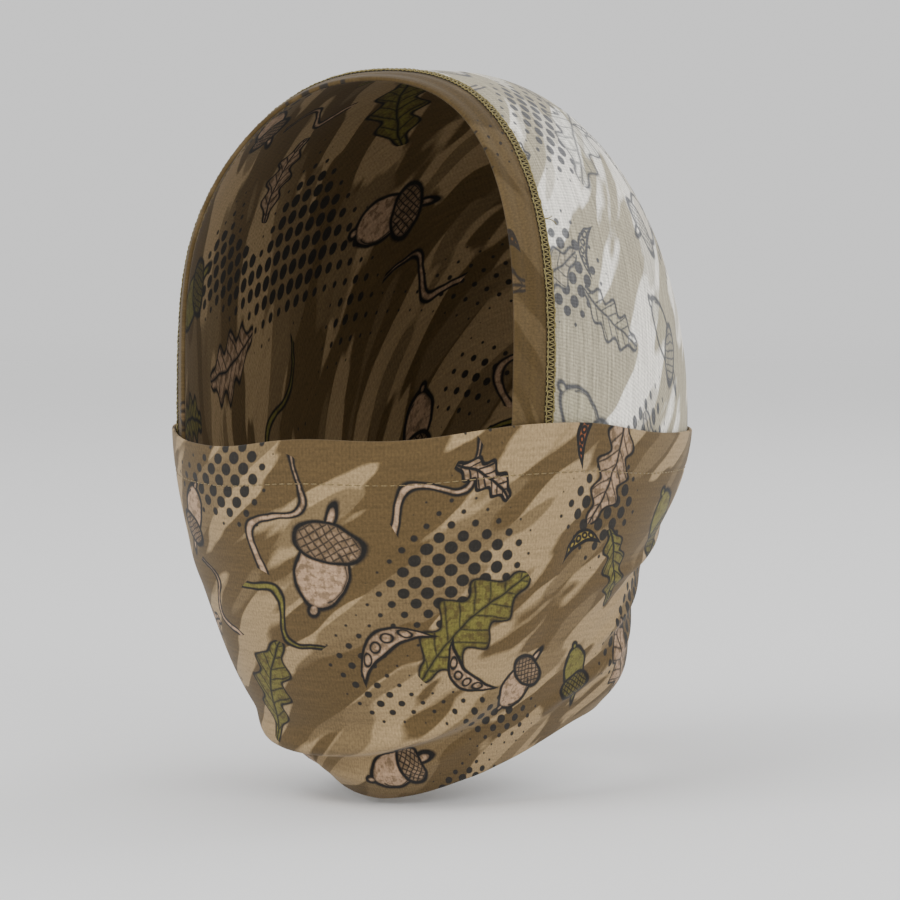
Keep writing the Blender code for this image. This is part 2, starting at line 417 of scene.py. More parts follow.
# %% [markdown]
# ## Motifs
#
# Each motif on the cloth is a filled shape with an ink outline. It could be an image, but a formula stays
# sharp at any distance. So each is a depth, above nought within the shape, and the ink lies where that depth
# is near nought. A group holds it, so that one drawing is placed many times.

# %% What every motif shares
HALF_LINE = 0.62
UPRIGHT = (0, 0, 1)
VECTOR, NUMBER, TINT = "NodeSocketVector", "NodeSocketFloat", "NodeSocketColor"


def motif(name):
    """A motif's group, its output node, its own x and y from -1 to 1, and the half width of its lines."""
    inputs = [("Pattern", VECTOR), ("Centre", VECTOR), ("Turn", NUMBER), ("Size", NUMBER)]
    outputs = [("Fill", NUMBER), ("Line", NUMBER), ("Shade", NUMBER)]
    tree, start, end = group_tree(name, inputs, outputs)
    pattern, centre, turn = (start.outputs[label] for label in ("Pattern", "Centre", "Turn"))
    moved = node(tree, "ShaderNodeVectorMath", pattern, centre, operation="SUBTRACT")
    turned = node(tree, "ShaderNodeVectorRotate", moved, None, UPRIGHT, turn, rotation_type="AXIS_ANGLE")
    grow = node(tree, "ShaderNodeMath", 1.0, start.outputs["Size"], operation="DIVIDE")
    local = node(tree, "ShaderNodeVectorMath", turned, None, None, grow, operation="SCALE")
    split = tree.nodes.new("ShaderNodeSeparateXYZ")
    tree.links.new(local, split.inputs[0])
    line = node(tree, "ShaderNodeMath", HALF_LINE, start.outputs["Size"], operation="DIVIDE")
    return tree, end, split.outputs[0], split.outputs[1], line


def below(tree, value, limit, soft=0.02):
    """One where value is under limit, with a soft edge."""
    gap = node(tree, "ShaderNodeMath", limit, value, operation="SUBTRACT")
    return node(tree, "ShaderNodeMapRange", gap, -soft, soft, 0.0, 1.0)


def within(tree, depth, ends):
    """A depth as it is between a motif's ends, and below nought past them."""
    past = math_chain(tree, ends, ("MULTIPLY", -1), ("ADD", 1))
    return math_chain(tree, depth, ("MULTIPLY", ends), ("SUBTRACT", past))


def finish_motif(tree, end, inside, inner_lines, shade, line):
    """inside is positive within the shape. The outline is drawn where it is nought, inner lines only within."""
    fill = node(tree, "ShaderNodeMapRange", inside, -0.02, 0.02, 0.0, 1.0)
    edge = below(tree, math_chain(tree, inside, ("ABSOLUTE", 0)), line)
    inner = math_chain(tree, inner_lines, ("MULTIPLY", fill))
    tree.links.new(fill, end.inputs["Fill"])
    tree.links.new(math_chain(tree, edge, ("MAXIMUM", inner)), end.inputs["Line"])
    tree.links.new(shade, end.inputs["Shade"])
    return tree

# %% Leaf, acorn, seed pod, tendril
def oak_leaf():
    """Rounded lobes along a slightly bent midrib, with slanting veins."""
    tree, end, x, y, line = motif("oak leaf")
    bent = math_chain(tree, x, ("MULTIPLY", x), ("MULTIPLY", 0.16))
    y = math_chain(tree, y, ("SUBTRACT", bent))
    tall = math_chain(tree, y, ("ABSOLUTE", 0))
    share = node(tree, "ShaderNodeMath", x, 0.5, 0.5, operation="MULTIPLY_ADD", use_clamp=True)
    arch = math_chain(tree, share, ("MULTIPLY", math.pi), ("SINE", 0), ("POWER", 0.75), ("MULTIPLY", 0.43))
    lobes = math_chain(tree, share, ("MULTIPLY", 26.0), ("COSINE", 0), ("MULTIPLY", 0.24), ("ADD", 0.80))
    wide = math_chain(tree, arch, ("MULTIPLY", lobes))
    inside = math_chain(tree, wide, ("SUBTRACT", tall))
    inside = within(tree, inside, below(tree, math_chain(tree, x, ("ABSOLUTE", 0)), 0.98))
    rib = below(tree, tall, math_chain(tree, line, ("MULTIPLY", 0.8)))
    slant = math_chain(tree, tall, ("MULTIPLY", -0.9), ("ADD", x))
    slant = node(tree, "ShaderNodeMath", slant, 0.24, 0.0, operation="WRAP")
    slant = math_chain(tree, slant, ("SUBTRACT", 0.12), ("ABSOLUTE", 0))
    vein = below(tree, slant, math_chain(tree, line, ("MULTIPLY", 0.55)))
    shade = math_chain(tree, tall, ("MULTIPLY", 1.6))
    return finish_motif(tree, end, inside, math_chain(tree, rib, ("MAXIMUM", vein)), shade, line)


HATCH_PITCH = 0.17


def ellipse_depth(tree, x, y, centre, radii):
    """Positive inside an ellipse, roughly the distance to its edge."""
    across = math_chain(tree, x, ("SUBTRACT", centre[0]), ("DIVIDE", radii[0]))
    up = math_chain(tree, y, ("SUBTRACT", centre[1]), ("DIVIDE", radii[1]))
    across = math_chain(tree, across, ("MULTIPLY", across))
    far = math_chain(tree, across, ("ADD", math_chain(tree, up, ("MULTIPLY", up))), ("SQRT", 0))
    return math_chain(tree, far, ("MULTIPLY", -1), ("ADD", 1), ("MULTIPLY", min(radii)))


def acorn():
    """A nut with a tip and a gleam, under a cross-hatched cap with a stalk."""
    tree, end, x, y, line = motif("acorn")
    nut = ellipse_depth(tree, x, y, (0, -0.18), (0.46, 0.68))
    tip = ellipse_depth(tree, x, y, (0, -0.90), (0.09, 0.12))
    cap = ellipse_depth(tree, x, y, (0, 0.36), (0.58, 0.34))
    stalk = ellipse_depth(tree, x, y, (0.05, 0.80), (0.09, 0.24))
    body = math_chain(tree, nut, ("MAXIMUM", tip))
    whole = math_chain(tree, body, ("MAXIMUM", cap), ("MAXIMUM", stalk))
    thin = math_chain(tree, line, ("MULTIPLY", 0.5))
    hatches = []
    for lean in ("ADD", "SUBTRACT"):
        stripe = math_chain(tree, x, (lean, y))
        stripe = node(tree, "ShaderNodeMath", stripe, HATCH_PITCH, 0.0, operation="WRAP")
        stripe = math_chain(tree, stripe, ("SUBTRACT", HATCH_PITCH / 2), ("ABSOLUTE", 0))
        hatches.append(below(tree, stripe, thin))
    hatch = math_chain(tree, hatches[0], ("MAXIMUM", hatches[1]))
    on_cap = node(tree, "ShaderNodeMapRange", cap, -0.01, 0.01, 0.0, 1.0)
    brim = below(tree, math_chain(tree, cap, ("ABSOLUTE", 0)), line)
    gleam = ellipse_depth(tree, x, y, (-0.12, -0.22), (0.30, 0.46))
    gleam = below(tree, math_chain(tree, gleam, ("ABSOLUTE", 0)), thin)
    gleam = math_chain(tree, gleam, ("MULTIPLY", below(tree, x, -0.2)))
    inner = math_chain(tree, hatch, ("MULTIPLY", on_cap), ("MAXIMUM", brim), ("MAXIMUM", gleam))
    shade = math_chain(tree, on_cap, ("MULTIPLY", 0.7), ("ADD", math_chain(tree, x, ("MULTIPLY", 0.35))))
    return finish_motif(tree, end, whole, inner, shade, line)


def seed_pod():
    """A bent pod, tapered at both ends, with a row of round seeds."""
    tree, end, x, y, line = motif("seed pod")
    bent = math_chain(tree, x, ("MULTIPLY", x), ("MULTIPLY", 0.55))
    y = math_chain(tree, y, ("SUBTRACT", bent), ("ADD", 0.2))
    tall = math_chain(tree, y, ("ABSOLUTE", 0))
    wide = math_chain(tree, x, ("MULTIPLY", x), ("MULTIPLY", -0.26), ("ADD", 0.26))
    inside = math_chain(tree, wide, ("SUBTRACT", tall))
    near = node(tree, "ShaderNodeMath", x, 0.36, 0.0, operation="WRAP")
    pea = math_chain(tree, near, ("SUBTRACT", 0.18))
    pea = math_chain(tree, pea, ("MULTIPLY", pea))
    far = math_chain(tree, pea, ("ADD", math_chain(tree, y, ("MULTIPLY", y))))
    far = math_chain(tree, far, ("SQRT", 0), ("SUBTRACT", 0.12), ("ABSOLUTE", 0))
    inner = below(tree, far, math_chain(tree, line, ("MULTIPLY", 0.7)))
    inner = math_chain(tree, inner, ("MULTIPLY", below(tree, math_chain(tree, x, ("ABSOLUTE", 0)), 0.72)))
    shade = math_chain(tree, y, ("MULTIPLY", -2.0), ("ADD", 0.3))
    return finish_motif(tree, end, inside, inner, shade, line)


def tendril():
    """A waving stem that thins towards one end."""
    tree, end, x, y, line = motif("tendril")
    wave = math_chain(tree, x, ("MULTIPLY", 4.2), ("SINE", 0), ("MULTIPLY", 0.30))
    y = math_chain(tree, y, ("SUBTRACT", wave), ("ABSOLUTE", 0))
    taper = math_chain(tree, x, ("MULTIPLY", -0.03), ("ADD", 0.07))
    inside = math_chain(tree, taper, ("SUBTRACT", y))
    inside = within(tree, inside, below(tree, math_chain(tree, x, ("ABSOLUTE", 0)), 0.97))
    return finish_motif(tree, end, inside, 0.0, math_chain(tree, x, ("MULTIPLY", 0.3)), line)


MOTIFS = {"leaf": oak_leaf(), "acorn": acorn(), "pod": seed_pod(), "tendril": tendril()}
print("motifs drawn:", sorted(MOTIFS))

# %% [markdown]
# ## The print
#
# The cloth is printed before it is worn, so the print is laid out here on the flat pattern, in millimetres, in
# a printer's order: the flowing ground, the halftone dots, the outlined motifs, and last the grain of the knit
# itself. The ground has to meet itself at the back of the head, because the tube has no seam there.

# %% Layout of the print
TUBE_ROUND = 490.0
SEAM_BLEND = 60.0
RIB_PITCH = 1.0
DOT_PITCH = 7.0 / math.sqrt(2)
# the drawing repeats twice round the tube, and the window that repeats ends here in mm
REPEAT_ROUND = TUBE_ROUND / 2
REPEAT_ALONG = 172.0
WINDOW_END = (REPEAT_ROUND / 2 + 40, 168.0)
# fields of dots: middle across and along in mm, and radius
DOT_PATCHES = [(10, 76, 40), (40, 36, 30), (96, 26, 26), (88, 58, 24), (150, 60, 34), (40, 130, 30),
               (-60, 100, 26)]
BONE, MOSS, OCHRE, RUST = "#a5896e", "#6b6530", "#96813a", "#9c552e"
# motif, middle across and along in mm, turn in radians, half length in mm, colour
PLACED = [
    ("acorn", 6, 36, 2.85, 17.5, BONE), ("tendril", -8, 22, 1.0, 19, BONE),
    ("tendril", -10, 54, -0.9, 17, MOSS), ("leaf", 47, 56, 0.75, 25, MOSS), ("pod", 22, 64, 0.65, 14, BONE),
    ("pod", 47, 74, 2.3, 12, BONE), ("acorn", 69, 80, 2.45, 13.5, BONE),
    ("tendril", -40, 50, 1.9, 15, BONE), ("acorn", -48, 24, -0.5, 13, BONE),
    ("leaf", -24, 80, 1.15, 21, MOSS), ("acorn", 19, 112, 1.9, 14, BONE), ("leaf", 98, 12, -1.9, 18, BONE),
    ("pod", 84, 3, 1.2, 7, RUST), ("leaf", 108, 42, -1.2, 15, MOSS), ("acorn", 100, 80, 0.4, 13, MOSS),
    ("pod", 88, 33, 0.3, 8, OCHRE), ("tendril", 38, 14, 0.55, 17, BONE), ("leaf", 52, 12, -0.6, 10, BONE),
    ("leaf", -62, 62, 0.4, 15, BONE), ("acorn", 140, 30, 0.7, 16, MOSS), ("leaf", 135, 78, 2.3, 19, BONE),
    ("pod", 68, 122, 0.9, 13, OCHRE), ("leaf", 108, 128, -0.4, 18, MOSS),
    ("acorn", -40, 122, 1.1, 15, BONE), ("tendril", 148, 120, 0.2, 18, MOSS),
    ("pod", 66, 148, -0.7, 9, RUST), ("tendril", -36, 150, 2.2, 16, BONE),
    ("leaf", 10, 150, -2.4, 18, MOSS),
]
print("motifs on one repeat:", len(PLACED))

# %% Flowing ground
def seamless(tree, flat, lean, stretch, shift, detail, rough, warp):
    """A noise on the flat pattern that meets itself at the back, where samples a round apart are blended."""
    half = TUBE_ROUND / 2
    split = node(tree, "ShaderNodeSeparateXYZ", flat)
    share = node(tree, "ShaderNodeMapRange", split, half - SEAM_BLEND, half, 0.0, 1.0)
    samples = []
    for round_back in (0.0, -TUBE_ROUND):
        moved = node(tree, "ShaderNodeVectorMath", flat, (round_back, 0, 0), operation="ADD")
        leaned = node(tree, "ShaderNodeVectorRotate", moved, None, UPRIGHT, lean, rotation_type="AXIS_ANGLE")
        drawn = node(tree, "ShaderNodeVectorMath", leaned, stretch, shift, operation="MULTIPLY_ADD")
        samples.append(node(tree, "ShaderNodeTexNoise", drawn, None, 1.0, detail, rough, 2.0, None, warp))
    return node(tree, "ShaderNodeMix", share, None, *samples)


def flowing_ground(tree, flat):
    """Long flame shapes leaning up to the right in three earths, and how pale they are on the reverse."""
    lean = math.radians(36)
    tone = seamless(tree, flat, lean, (0.0145, 0.060, 1.0), (0.4, 1.7, 0), 2.5, 0.46, 1.1)
    second = seamless(tree, flat, lean, (0.0150, 0.062, 1.0), (7.3, 3.1, 0.0), 2.0, 0.45, 0.9)
    light = node(tree, "ShaderNodeMapRange", tone, 0.492, 0.512, 0.0, 1.0)
    middle = node(tree, "ShaderNodeMapRange", second, 0.545, 0.565, 0.0, 1.0)
    colour = node(tree, "ShaderNodeMix", light, *GAP, linear("#57462b"), linear("#957f5d"), **COLOUR)
    share = math_chain(tree, middle, ("MULTIPLY", 0.9))
    colour = node(tree, "ShaderNodeMix", share, *GAP, colour, linear("#6c5a3e"), **COLOUR)
    dulled = math_chain(tree, middle, ("MULTIPLY", light), ("MULTIPLY", 0.55))
    return colour, math_chain(tree, light, ("SUBTRACT", dulled))

# %% Halftone dots
def halftone_dots(tree, flat, wrapped):
    """Dots on a diagonal grid, which grow and fade with a slow noise and round their own patches."""
    diagonal = math.radians(45)
    tilted = node(tree, "ShaderNodeVectorRotate", flat, None, UPRIGHT, diagonal, rotation_type="AXIS_ANGLE")
    cell = node(tree, "ShaderNodeVectorMath", tilted, (DOT_PITCH,) * 3, (0, 0, 0), operation="WRAP")
    offset = node(tree, "ShaderNodeVectorMath", cell, (DOT_PITCH / 2,) * 3, operation="SUBTRACT")
    flatten = node(tree, "ShaderNodeVectorMath", offset, (1.0, 1.0, 0.0), operation="MULTIPLY")
    away = node(tree, "ShaderNodeVectorMath", flatten, operation="LENGTH", out=1)
    patch = seamless(tree, flat, 0.0, (0.016, 0.021, 1.0), (2.6, 1.3, 0.0), 1.0, 0.4, 0.3)
    for across, along, wide in DOT_PATCHES:
        gap = node(tree, "ShaderNodeVectorMath", wrapped, (across, along, 0.5), operation="DISTANCE", out=1)
        patch = math_chain(tree, patch, ("ADD", node(tree, "ShaderNodeMapRange", gap, 0.0, wide, 0.20, 0.0)))
    radius = node(tree, "ShaderNodeMapRange", patch, 0.54, 0.68, -0.3, 1.95)
    return below(tree, away, radius, 0.18)

# %% Motifs over the ground
def outlined_motifs(tree, flat, wrapped, colour, drawing):
    """Each motif in PLACED over what lies under it, with a hand's wobble in its lines and sketchy shading."""
    wobble = node(tree, "ShaderNodeTexNoise", flat, None, 0.12, 1.0, 0.5, 2.0, out=1)
    wobble = node(tree, "ShaderNodeVectorMath", wobble, (0.5, 0.5, 0.5), operation="SUBTRACT")
    wobble = node(tree, "ShaderNodeVectorMath", wobble, None, None, 2.2, operation="SCALE")
    hand = node(tree, "ShaderNodeVectorMath", wrapped, wobble, operation="ADD")
    sketch = node(tree, "ShaderNodeTexNoise", wrapped, None, 0.42, 2.0, 0.6, 2.0)
    sketch = node(tree, "ShaderNodeMapRange", sketch, 0.47, 0.60, 0.0, 0.75)
    for kind, across, along, turn, size, fill_code in PLACED:
        group = tree.nodes.new("ShaderNodeGroup")
        group.node_tree = MOTIFS[kind]
        tree.links.new(hand, group.inputs["Pattern"])
        for label, value in (("Centre", (across, along, 0)), ("Turn", turn), ("Size", size)):
            group.inputs[label].default_value = value
        fill, line, shade = (group.outputs[label] for label in ("Fill", "Line", "Shade"))
        shade = math_chain(tree, sketch, ("ADD", shade))
        shade = node(tree, "ShaderNodeMapRange", shade, 0.0, 1.0, 0.0, 0.72)
        body = node(tree, "ShaderNodeMix", shade, *GAP, linear(fill_code), linear("#44361f"), **COLOUR)
        colour = node(tree, "ShaderNodeMix", fill, *GAP, colour, body, **COLOUR)
        colour = node(tree, "ShaderNodeMix", line, *GAP, colour, linear("#1c1a18"), **COLOUR)
        clear = math_chain(tree, fill, ("MULTIPLY", -0.75), ("ADD", 1))
        drawing = math_chain(tree, drawing, ("MULTIPLY", clear), ("MAXIMUM", line))
    return colour, drawing

# %% Knit
def knit(tree, flat):
    """The grain of the loops, and proud yarns that run on for centimetres round the tube, crossed by ribs."""
    loops = node(tree, "ShaderNodeVectorMath", flat, (1.45, 1.0, 1.0), operation="MULTIPLY")
    grain = node(tree, "ShaderNodeTexNoise", loops, None, 1.0, 2.0, 0.6, 2.0)
    drawn_out = node(tree, "ShaderNodeVectorMath", flat, (0.050, 0.95, 1.0), operation="MULTIPLY")
    long_yarn = node(tree, "ShaderNodeTexNoise", drawn_out, None, 1.0, 3.0, 0.62, 2.0)
    across = node(tree, "ShaderNodeSeparateXYZ", flat)
    rib = math_chain(tree, across, ("MULTIPLY", 2 * math.pi / RIB_PITCH), ("SINE", 0), ("MULTIPLY", 0.07))
    return grain, math_chain(tree, long_yarn, ("ADD", rib))

# %% The print, as one group
def print_group():
    """The print laid out on the flat pattern, which comes in metres. The reverse takes the drawing and the
    ground apart from the full colour."""
    outputs = [("Colour", TINT), ("Drawing", NUMBER), ("Ground", NUMBER), ("Grain", NUMBER), ("Streak", NUMBER)]
    tree, start, end = group_tree("woodland print", [("Pattern", VECTOR)], outputs)
    flat = node(tree, "ShaderNodeVectorMath", start.outputs[0], None, None, 1 / MM, operation="SCALE")
    low = (WINDOW_END[0] - REPEAT_ROUND, WINDOW_END[1] - REPEAT_ALONG, 0.0)
    wrapped = node(tree, "ShaderNodeVectorMath", flat, (*WINDOW_END, 1.0), low, operation="WRAP")
    colour, ground = flowing_ground(tree, flat)
    dots = halftone_dots(tree, flat, wrapped)
    colour = node(tree, "ShaderNodeMix", dots, *GAP, colour, linear("#26231f"), **COLOUR)
    colour, drawing = outlined_motifs(tree, flat, wrapped, colour, dots)
    grain, streak = knit(tree, flat)
    for (label, _), value in zip(outputs, (colour, drawing, ground, grain, streak)):
        tree.links.new(value, end.inputs[label])
    return tree


PRINT = print_group()
print("print group holds", len(PRINT.nodes), "nodes")

# %% [markdown]
# ## Two sides of the cloth, and two threads
#
# Dye goes into one side only. The right side is strong and matt, the reverse is pale with blue-grey lines, and
# the hem wears a dark stripe of the same print. One group feeds all three, so they agree where the cloth turns
# over. The threads are spun fibre, duller than the cloth's sheen, in flecks too fine to be drawn singly.

# %% Dye on the reverse, and dye with painted thread shadow on the hem
def reverse_dye(tree, colour, drawing, ground):
    """White yarn outside, dye inside: the tones come through faint and warm, the black lines blue-grey."""
    paleness = node(tree, "ShaderNodeMapRange", ground, 0.0, 1.0, 0.22, 1.0)
    pale = node(tree, "ShaderNodeMix", paleness, *GAP, linear("#8f8462"), linear("#f9f6ec"), **COLOUR)
    tinted = node(tree, "ShaderNodeMix", 0.20, *GAP, pale, colour, **COLOUR)
    lines = math_chain(tree, drawing, ("MULTIPLY", 0.86))
    return node(tree, "ShaderNodeMix", lines, *GAP, tinted, linear("#3b3e47"), **COLOUR)


def hem_dye_and_thread_shade(tree, colour, drawing, source):
    """A dark stripe over the print along the hem, and under the overlock thread a near-black band: the dark raw
    edge, with painted shadow of the thread that shows in its gaps.
    """
    base = node(tree, "ShaderNodeMix", 0.86, *GAP, colour, linear("#46371c"), **COLOUR)
    lines = math_chain(tree, drawing, ("MULTIPLY", 0.8))
    base = node(tree, "ShaderNodeMix", lines, *GAP, base, linear("#24211f"), **COLOUR)
    split = tree.nodes.new("ShaderNodeSeparateXYZ")
    tree.links.new(source, split.inputs[0])
    # near black under the overlock: the dark raw edge of the cloth, and painted shadow of the thread in its gaps
    raw_edge_and_painted_thread_shade = node(tree, "ShaderNodeMapRange", split.outputs[1], -11.2 * MM, -11.8 * MM, 0.0, 0.85)
    return node(tree, "ShaderNodeMix", raw_edge_and_painted_thread_shade, *GAP, base, linear("#1d160b"), **COLOUR)

# %% Cloth finishes
# how far the loops' grain and the proud yarns darken and lighten each side
CONTRAST = {"right": ((0.74, 1.22), (0.84, 1.16)), "hem": ((0.72, 1.22), (0.88, 1.10)),
            "reverse": ((0.72, 1.18), (0.60, 1.42))}


def cloth_finish(name, side):
    """Dye-printed polyester jersey. The right side is full colour and matt, the reverse is the white yarn with
    the print showing through, and the hem is stretched flat over a dark stripe of the print."""
    finish = bpy.data.materials.new(name)
    finish.use_nodes = True
    tree = finish.node_tree
    shader = tree.nodes["Principled BSDF"]
    source = node(tree, "ShaderNodeUVMap", uv_map="pattern")
    group = tree.nodes.new("ShaderNodeGroup")
    group.node_tree = PRINT
    tree.links.new(source, group.inputs[0])
    colour, drawing, ground, grain, streak = group.outputs
    if side == "reverse":
        colour = reverse_dye(tree, colour, drawing, ground)
    elif side == "hem":
        colour = hem_dye_and_thread_shade(tree, colour, drawing, source)
    fine, coarse = CONTRAST[side]
    speck = node(tree, "ShaderNodeMapRange", grain, 0.25, 0.75, *fine)
    run = node(tree, "ShaderNodeMapRange", streak, 0.25, 0.75, *coarse)
    relief = math_chain(tree, speck, ("MULTIPLY", run))
    yarn = node(tree, "ShaderNodeVectorMath", colour, None, None, relief, operation="SCALE")
    tree.links.new(yarn, shader.inputs["Base Color"])
    # ribs stand about a tenth of a millimetre proud, too little for a shadow but enough to break the light
    height = math_chain(tree, grain, ("ADD", streak))
    tree.links.new(node(tree, "ShaderNodeBump", 0.45, 0.12 * MM, None, height), shader.inputs["Normal"])
    for label, value in (("Roughness", 0.88), ("Specular IOR Level", 0.20), ("Sheen Weight", 0.08),
                         ("Sheen Roughness", 0.5)):
        shader.inputs[label].default_value = value
    return finish


RIGHT_SIDE = cloth_finish("sublimation-printed polyester jersey, right side", "right")
HEM_SIDE = cloth_finish("sublimation-printed polyester jersey, turned hem", "hem")
REVERSE = cloth_finish("sublimation-printed polyester jersey, reverse", "reverse")

# %% Thread finishes
def thread_finish(name, light, dark):
    """Spun polyester sewing thread: twisted fibres, so its colour runs in short slanted flecks."""
    finish = bpy.data.materials.new(name)
    finish.use_nodes = True
    tree = finish.node_tree
    shader = tree.nodes["Principled BSDF"]
    place = node(tree, "ShaderNodeTexCoord", out=3)
    fleck = node(tree, "ShaderNodeTexNoise", place, None, 2600.0, 2.0, 0.6, 2.0)
    share = node(tree, "ShaderNodeMapRange", fleck, 0.35, 0.65, 0.0, 1.0)
    colour = node(tree, "ShaderNodeMix", share, *GAP, linear(light), linear(dark), **COLOUR)
    tree.links.new(colour, shader.inputs["Base Color"])
    shader.inputs["Roughness"].default_value = 0.68
    shader.inputs["Sheen Weight"].default_value = 0.15
    return finish


OLIVE_THREAD = thread_finish("spun polyester overlock thread, olive", "#857840", "#574b22")
BROWN_THREAD = thread_finish("spun polyester needle thread, brown olive", "#857142", "#55452a")

# %% [markdown]
# ## The hood
#
# The tube's upper half, inside out. It is the part that holds the rest on, stretched over the crown and the
# ears. It is drawn from the back of the face hem to the neck, where the cloth turns up to become the mask.

# %% Hood cloth
HOOD_ROWS = 160
HEM_START = 1.2 * MM
PATTERN_ROUND = TUBE_ROUND * MM


def hood_rows(distances, lifts):
    """Rows on the form at distances behind the opening, raised by each row's lift and by the settling."""
    rows = []
    for distance, lift in zip(distances, lifts):
        points = hood_at(distance)
        rise = (lift + shared_settling(points)) * MM
        rows.append(points + form_normal(points) * rise[:, None])
    return np.array(rows)


hood_distance = HEM_START + np.linspace(0, 1, HOOD_ROWS)[:, None] * (hood_lengths - HEM_START)
hood_grid = hood_rows(hood_distance, np.full(HOOD_ROWS, HOOD_LIFT))
hood_pattern = flat_pattern(hood_distance, PATTERN_ROUND)
hood = cloth_mesh("hood_cloth_knit", hood_grid, hood_pattern, (REVERSE, RIGHT_SIDE))
print("hood cloth triangles:", 2 * len(hood.data.polygons))

# %% [markdown]
# ## The face hem
#
# At the face the cloth is turned outwards once, so the printed side shows as a dark band 12 mm wide. Turning
# it once keeps the edge soft against the skin; its raw end lies under the overlock thread.

# %% Face hem
RAW_EDGE = 14.7 * MM
OVERLOCK_MIDDLE = 13.2 * MM
EDGE_RADIUS = (FACE_HEM_LIFT - HOOD_LIFT) / 2
TURN_STEPS = 9
BAND_STEPS = 20
BAND_WAVE = 0.12

# (distance behind the opening, lift) in mm: under the rim, round it, and back over the hood
hem_profile = [(HEM_START / MM, HOOD_LIFT)]
for angle in np.linspace(0, math.pi, TURN_STEPS):
    lift = (HOOD_LIFT + FACE_HEM_LIFT) / 2 - EDGE_RADIUS * math.cos(angle)
    hem_profile.append((EDGE_RADIUS - EDGE_RADIUS * math.sin(angle), lift))
for distance in np.linspace(HEM_START / MM, RAW_EDGE / MM, BAND_STEPS):
    hem_profile.append((distance, FACE_HEM_LIFT + BAND_WAVE * math.sin(distance)))
hem_distance = np.array([np.full(COLUMNS, distance * MM) for distance, _ in hem_profile])
hem_grid = hood_rows(hem_distance, [lift for _, lift in hem_profile])
hem_pattern = flat_pattern(-hem_distance, PATTERN_ROUND)
face_hem = cloth_mesh("face_hem_knit", hem_grid, hem_pattern, (HEM_SIDE, REVERSE))
print(f"face hem: {(OVERLOCK_MIDDLE - HEM_START) / MM:.1f} mm from its edge to the overlock")

# %% [markdown]
# ## The turned-up mask
#
# The lower half of the tube, folded up at the neck, comes back outside itself with the printed side out. Its
# wall hangs from the nose, buckles once under the chin and pinches at the nape. One sheet is right here:
# there is no seam between its front and its back, only a line in the CAD where the sliding part begins.

# %% The mask's lift, edge and rows, in mm
NOSE_HEM_LIFT = 1.72
MASK_LIFT = 2.34
HEM_CLEAR = 1.35
WALL_ROWS = 148
NOSE_FOLD_STEPS = 8
NECK_FOLD_STEPS = 9
NOSE_STITCH = 12.3
STITCH_DENT = 0.30


def mask_lift(points):
    """The wall's lift in mm: close on the hood at the back, and clear of the face hem in front."""
    return MASK_LIFT + HEM_CLEAR * (1 - soft_step(behind_opening(points) / MM, 17, 29))


def nose_wave(points):
    """How far the nose edge rides up or down, in mm."""
    turn = bearing(points)
    left_cheek = 7.4 * np.exp(-(np.abs((turn - 52) / 28) ** 2.4))
    nose = 2.6 * np.exp(-(((turn - 1) / 14) ** 2)) - 0.8 * np.exp(-(((turn + 17) / 10) ** 2))
    right_temple = 2.4 * np.exp(-(((turn + 68) / 24) ** 2)) - 0.7 * np.exp(-(((turn + 34) / 12) ** 2))
    return left_cheek + nose + right_temple + 0.4 * np.sin(np.radians(turn * 5))


def mask_ring(distance):
    """A ring on the form at a distance below the nose edge, scaled to each column's own depth."""
    ring = np.empty((COLUMNS, 3))
    for column in range(COLUMNS):
        length, path = mask_lengths[:, column], mask_table[:, column]
        for axis in range(3):
            ring[column, axis] = np.interp(distance[column], length, path[:, axis])
    return ring


def mask_row(distance, offset):
    """A ring of the turned-up part, offset in mm from the wall's own lift."""
    points = mask_ring(distance)
    fade = np.exp(-distance / (24 * MM))
    edge_calm = soft_step(distance / MM, 2, 22)
    dent = STITCH_DENT * np.exp(-(((distance / MM - NOSE_STITCH) / 0.9) ** 2))
    rise = mask_lift(points) - dent + offset + shared_settling(points) + turned_up_folds(points) * edge_calm
    moved = points + form_normal(points) * (rise * MM)[:, None]
    moved[:, 2] += nose_wave(points) * MM * fade
    return moved

# %% Mask cloth, from its inner edge over the nose edge and down the wall
TUCKED = 1.4 * MM
WALL_TOP = 1.0 * MM
fold_radius = (MASK_LIFT - NOSE_HEM_LIFT) / 2
mask_rows = [mask_row(np.full(COLUMNS, TUCKED), -2 * fold_radius)]
mask_along = [np.full(COLUMNS, -WALL_TOP)]
for angle in np.linspace(0, math.pi, NOSE_FOLD_STEPS):
    distance = np.full(COLUMNS, fold_radius * (1 - math.sin(angle)) * MM)
    mask_rows.append(mask_row(distance, -fold_radius - fold_radius * math.cos(angle)))
    mask_along.append(distance)
for share in np.linspace(0, 1, WALL_ROWS)[1:]:
    distance = WALL_TOP + share * (mask_lengths[-1] - WALL_TOP)
    mask_rows.append(mask_row(distance, 0.0))
    mask_along.append(distance)

# %% Neck fold: each column turns under in a half circle to meet the hood's lower edge
FOLD_CLOTH = 3 * MM
bottom_outer = mask_rows[-1]
neck_points = mask_ring(mask_lengths[-1])
inner_rise = (HOOD_LIFT + shared_settling(neck_points)) * MM
inner_end = neck_points + form_normal(neck_points) * inner_rise[:, None]
down = mask_table[-1] - mask_table[-4]
down = down / np.linalg.norm(down, axis=1, keepdims=True)
turns = np.radians(bearing(neck_points))
fall = 1.0 + 0.30 * np.sin(turns * 9) * np.sin(turns * 2 + math.radians(40))
fall += 0.22 * np.sin(turns * 17 + math.radians(25))
radius = np.linalg.norm(bottom_outer - inner_end, axis=1, keepdims=True) / 2
for angle in np.linspace(0, math.pi, NECK_FOLD_STEPS)[1:]:
    share = (1 - math.cos(angle)) / 2
    middle = bottom_outer * (1 - share) + inner_end * share
    mask_rows.append(middle + down * radius * math.sin(angle) * fall[:, None])
    mask_along.append(mask_lengths[-1] + FOLD_CLOTH * share)
